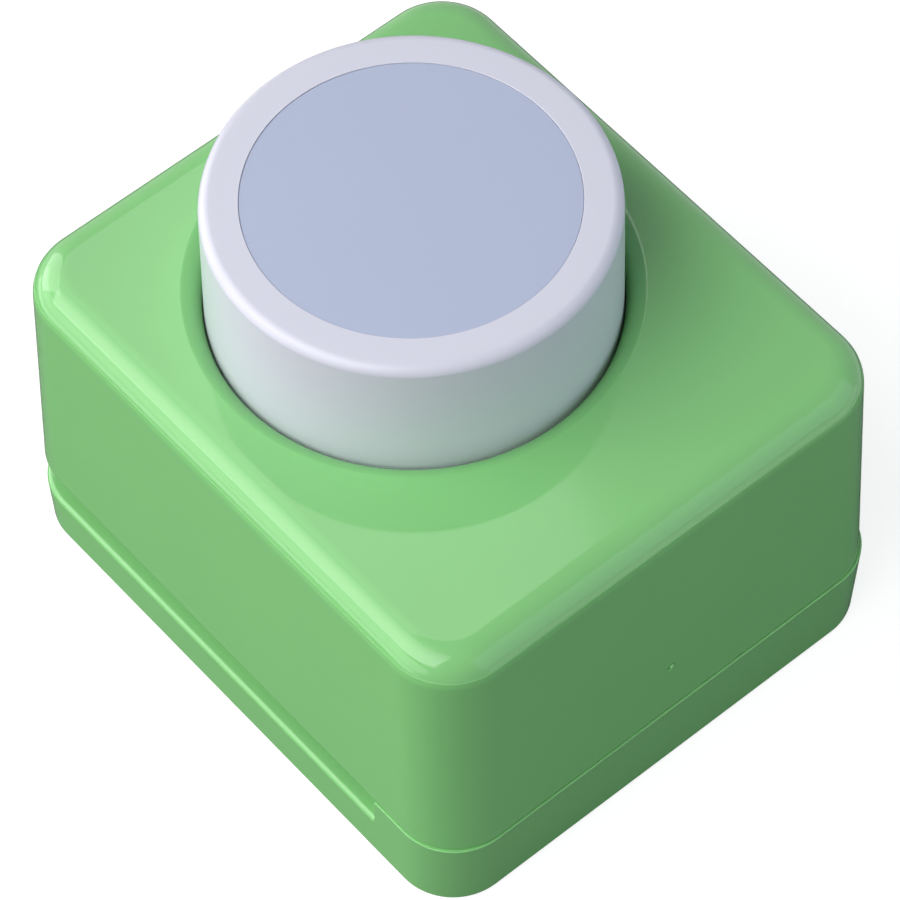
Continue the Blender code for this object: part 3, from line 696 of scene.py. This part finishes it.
def make_springs(material):
    """Four springs, each one wire, as tall as their CAD nodes."""
    for i, (x, y) in enumerate(POST_PLACES):
        name = f"spring_{i + 1}"
        node = f"return_{name}"
        low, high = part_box(node)
        radius = (high.x - low.x) / 2 - WIRE_RADIUS
        bottom = low.z + WIRE_RADIUS
        height = high.z - WIRE_RADIUS - bottom
        count = SPRING_TURNS * TURN_POINTS
        shape = bmesh.new()
        rings = []
        for k in range(count + 1):
            angle = math.tau * k / TURN_POINTS
            share = k / count
            out = Vector((math.cos(angle), math.sin(angle), 0))
            centre = Vector((x, y, bottom + height * share)) + out * radius
            turns = [math.tau * j / WIRE_SEGMENTS for j in range(WIRE_SEGMENTS)]
            section = [out * math.cos(turn) + Vector((0, 0, math.sin(turn))) for turn in turns]
            rings.append([shape.verts.new(centre + spot * WIRE_RADIUS) for spot in section])
        for lower, upper in zip(rings, rings[1:]):
            bridge(shape, lower, upper)
        shape.faces.new(rings[0])
        shape.faces.new(rings[-1])
        mesh = mesh_from(name, shape)
        spring = dressed(name, mesh, material, "spring_steel", "body", node)
        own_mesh(spring)


def linear(channel):
    """One channel of an sRGB screen colour, 0 to 255, as linear light."""
    share = channel / 255
    return share / 12.92 if share <= 0.04045 else ((share + 0.055) / 1.055) ** 2.4


class Tree:
    """A small helper that adds and links shader nodes."""

    def __init__(self, tree):
        self.tree = tree
        self.nodes = tree.nodes

    def link(self, output, target):
        self.tree.links.new(output, target)

    def add(self, kind, inputs=None, **settings):
        node = self.nodes.new(kind)
        for key, value in settings.items():
            setattr(node, key, value)
        for key, value in (inputs or {}).items():
            if isinstance(value, bpy.types.NodeSocket):
                self.link(value, node.inputs[key])
            else:
                node.inputs[key].default_value = value
        return node


def tree_of(owner):
    """The node tree of a material, world or lamp."""
    owner.use_nodes = True
    return Tree(owner.node_tree)


def noise(tree, place, scale, detail):
    """An even noise, from 0 to 1, over a place's coordinates."""
    marks = tree.add("ShaderNodeTexNoise", {"Vector": place, "Scale": scale, "Detail": detail})
    return marks.outputs["Fac"]


def tinted(tree, marks, colour, dark_share, light_share):
    """A screen colour that goes from a darker to a lighter share of itself with a noise."""
    values = [linear(channel) for channel in colour]
    tint = tree.add("ShaderNodeMix", {"Factor": marks}, data_type="RGBA")
    tint.inputs["A"].default_value = (*[v * dark_share for v in values], 1)
    tint.inputs["B"].default_value = (*[v * light_share for v in values], 1)
    return tint.outputs["Result"]


def uneven(tree, marks, value, spread):
    """A value that varies with a noise by a share to either side."""
    low, high = value * (1 - spread), value * (1 + spread)
    varied = tree.add("ShaderNodeMapRange", {"Value": marks, "To Min": low, "To Max": high})
    return varied.outputs["Result"]


def relief(tree, marks, strength, height):
    """The normal of a surface that a noise raises up to a height."""
    bump = tree.add("ShaderNodeBump", {"Height": marks, "Strength": strength, "Distance": height})
    return bump.outputs["Normal"]


def plastic(name, colour, roughness, shade, ripple, specular):
    """Glossy moulded plastic with faint flow shades, uneven gloss and a slight ripple."""
    material = bpy.data.materials.new(name)
    tree = tree_of(material)
    shader = tree.nodes["Principled BSDF"]
    shader.inputs["Specular IOR Level"].default_value = specular
    place = tree.add("ShaderNodeTexCoord").outputs["Object"]
    flow = noise(tree, place, FLOW_SCALE, FLOW_DETAIL)
    fine = noise(tree, place, FINE_SCALE, FINE_DETAIL)
    wave = noise(tree, place, WAVE_SCALE, WAVE_DETAIL)
    tree.link(tinted(tree, flow, colour, 1 - shade, 1 + shade), shader.inputs["Base Color"])
    tree.link(uneven(tree, fine, roughness, PLASTIC_GLOSS_SPREAD), shader.inputs["Roughness"])
    tree.link(relief(tree, wave, ripple, WAVE_HEIGHT), shader.inputs["Normal"])
    return material


def steel(name, colour, roughness, streaks):
    """Ground steel: streaks stretched by the (x, y, z) scales, in shade, gloss and relief."""
    material = bpy.data.materials.new(name)
    tree = tree_of(material)
    shader = tree.nodes["Principled BSDF"]
    shader.inputs["Metallic"].default_value = 1.0
    place = tree.add("ShaderNodeTexCoord").outputs["Object"]
    stretched = tree.add("ShaderNodeMapping", {"Vector": place, "Scale": streaks})
    marks = noise(tree, stretched.outputs["Vector"], 1.0, STEEL_DETAIL)
    tint = tinted(tree, marks, colour, STEEL_DARK_SHARE, STEEL_LIGHT_SHARE)
    tree.link(tint, shader.inputs["Base Color"])
    tree.link(uneven(tree, marks, roughness, STEEL_GLOSS_SPREAD), shader.inputs["Roughness"])
    tree.link(relief(tree, marks, STEEL_BUMP_SHARE, STEEL_GRAIN_HEIGHT), shader.inputs["Normal"])
    return material


def repaint(material, slot, *nodes):
    """Gives CAD nodes that stay as they are a finished material."""
    for name in nodes:
        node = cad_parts[name]
        node.data.materials.clear()
        node.data.materials.append(material)
        for face in node.data.polygons:
            face.use_smooth = True
        node.data.set_sharp_from_angle(angle=SHARP_ANGLE)


def highest(tree, first, second):
    """The larger of two shader values."""
    node = tree.add("ShaderNodeMath", {0: first, 1: second}, operation="MAXIMUM")
    return node.outputs[0]


def mirrored_rays(tree, path):
    """1 for the rays that metal, gloss and glass send out."""
    return highest(tree, path.outputs["Is Glossy Ray"], path.outputs["Is Transmission Ray"])


def make_floor():
    """White paper that keeps the object's soft shadow; in reflections it carries a painted shade near
    the object and glows white further out.
    """
    shape = bmesh.new()
    bmesh.ops.create_grid(shape, x_segments=1, y_segments=1, size=FLOOR_SIZE)
    mesh = mesh_from("floor", shape)
    floor = bpy.data.objects.new("floor", mesh)
    floor.location.z = -FLOOR_DROP
    bpy.context.scene.collection.objects.link(floor)
    material = bpy.data.materials.new("floor")
    tree = tree_of(material)
    tree.nodes.clear()
    path = tree.add("ShaderNodeLightPath")
    camera = path.outputs["Is Camera Ray"]
    mirrored = mirrored_rays(tree, path)
    place = tree.add("ShaderNodeTexCoord").outputs["Object"]
    # Mirrored rays glow white only outside the painted shade round the object
    away = tree.add("ShaderNodeVectorMath", {0: place, 1: PAINTED_SHADE_MIDDLE}, operation="DISTANCE")
    far = tree.add(
        "ShaderNodeMapRange",
        {"Value": away.outputs["Value"], "From Min": PAINTED_SHADE_RADIUS, "From Max": PAINTED_SHADE_RADIUS + PAINTED_SHADE_EDGE},
        interpolation_type="SMOOTHSTEP",
    )
    far_share = tree.add(
        "ShaderNodeMath", {0: mirrored, 1: far.outputs["Result"]}, operation="MULTIPLY"
    )
    white = highest(tree, camera, far_share.outputs[0])
    strength = tree.add("ShaderNodeMath", {0: white, 1: FLOOR_GLOW}, operation="MULTIPLY")
    seen = tree.add(
        "ShaderNodeMapRange", {"Value": camera, "To Min": FLOOR_SHADE, "To Max": FLOOR_SEEN_SHADE}
    )
    # Mirrored rays see the paper at a darker shade, a painted shade in reflections near the object
    shade = tree.add(
        "ShaderNodeMapRange",
        {"Value": mirrored, "To Min": seen.outputs["Result"], "To Max": FLOOR_MIRRORED_SHADE},
    )
    paper = tree.add("ShaderNodeBsdfDiffuse", {"Color": shade.outputs["Result"]})
    glow = tree.add("ShaderNodeEmission", {"Strength": strength.outputs[0]})
    mixed = tree.add("ShaderNodeAddShader", {0: paper.outputs[0], 1: glow.outputs[0]})
    tree.add("ShaderNodeOutputMaterial", {"Surface": mixed.outputs[0]})
    mesh.materials.append(material)


def make_world():
    """White to the camera and to gloss, and only a dim fill to the object's own shades."""
    world = bpy.data.worlds.new("studio")
    bpy.context.scene.world = world
    tree = tree_of(world)
    tree.nodes.clear()
    path = tree.add("ShaderNodeLightPath")
    seen = highest(tree, path.outputs["Is Camera Ray"], mirrored_rays(tree, path))
    dim = tree.add("ShaderNodeBackground", {"Color": (*FILL_COLOUR, 1), "Strength": FILL_LEVEL})
    white = tree.add("ShaderNodeBackground", {"Color": (*WHITE, 1), "Strength": 1.0})
    mixed = tree.add("ShaderNodeMixShader", {0: seen, 1: dim.outputs[0], 2: white.outputs[0]})
    tree.add("ShaderNodeOutputWorld", {"Surface": mixed.outputs[0]})


def softbox(
    name, azimuth, elevation, width, height, radiance, colour=WHITE, roll=0, fade=1, rays="all",
    distance=LIGHT_DISTANCE,
):
    """A lamp panel that faces the object from a side and height in degrees.

    Its upper part fades to a share of its radiance. A gloss panel only shows in reflections,
    and a diffuse panel never does.
    """
    turn, rise = math.radians(azimuth), math.radians(elevation)
    side = Vector((math.cos(turn) * math.cos(rise), math.sin(turn) * math.cos(rise), math.sin(rise)))
    data = bpy.data.lights.new(name, "AREA")
    data.shape = "RECTANGLE"
    data.size = width
    data.size_y = height
    data.energy = radiance * math.pi * width * height
    data.color = colour
    if fade != 1:
        tree = tree_of(data)
        spot = tree.add("ShaderNodeNewGeometry").outputs["Parametric"]
        across = tree.add("ShaderNodeSeparateXYZ", {0: spot})
        share = tree.add(
            "ShaderNodeMapRange",
            {"Value": across.outputs["Y"], "From Min": FADE_START, "To Min": 1.0, "To Max": fade},
            interpolation_type="SMOOTHSTEP",
        )
        tree.link(share.outputs["Result"], tree.nodes["Emission"].inputs["Strength"])
    lamp = bpy.data.objects.new(name, data)
    lamp.location = LIGHT_AIM + side * distance
    lamp.rotation_mode = "QUATERNION"
    lamp.rotation_quaternion = side.to_track_quat("Z", "Y") @ Quaternion((0, 0, 1), math.radians(roll))
    lamp.visible_camera = False
    lamp.visible_diffuse = rays != "gloss"
    lamp.visible_transmission = rays != "gloss"
    lamp.visible_glossy = rays != "diffuse"
    bpy.context.scene.collection.objects.link(lamp)


def make_lights():
    """All the lamp panels."""
    for *panel, extra in PANELS:
        softbox(*panel, **extra)


def main():
    make_camera()
    bpy.context.scene.view_settings.view_transform = "Standard"
    make_world()
    make_lights()
    make_floor()
    plastics = {name: plastic(name, **look) for name, look in PLASTICS.items()}
    steels = {name: steel(name, **look) for name, look in STEELS.items()}
    make_cover(plastics["green_plastic"])
    make_base(plastics["green_plastic"])
    make_button(plastics["white_plastic"])
    make_disc(plastics["blue_disc"])
    make_springs(steels["spring_steel"])
    plates = ["die_plate", "stripper_plate", "throat_spacer", "punch_carrier"]
    posts = [f"guide_post_{i + 1}" for i in range(POST_COUNT)]
    screws = [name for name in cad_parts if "screw" in name]
    repaint(steels["die_steel"], "die_steel", *plates)
    repaint(steels["cutter_steel"], "cutter_steel", "punch_cutter", *posts)
    repaint(steels["screw_steel"], "screw_steel", *screws)


main()
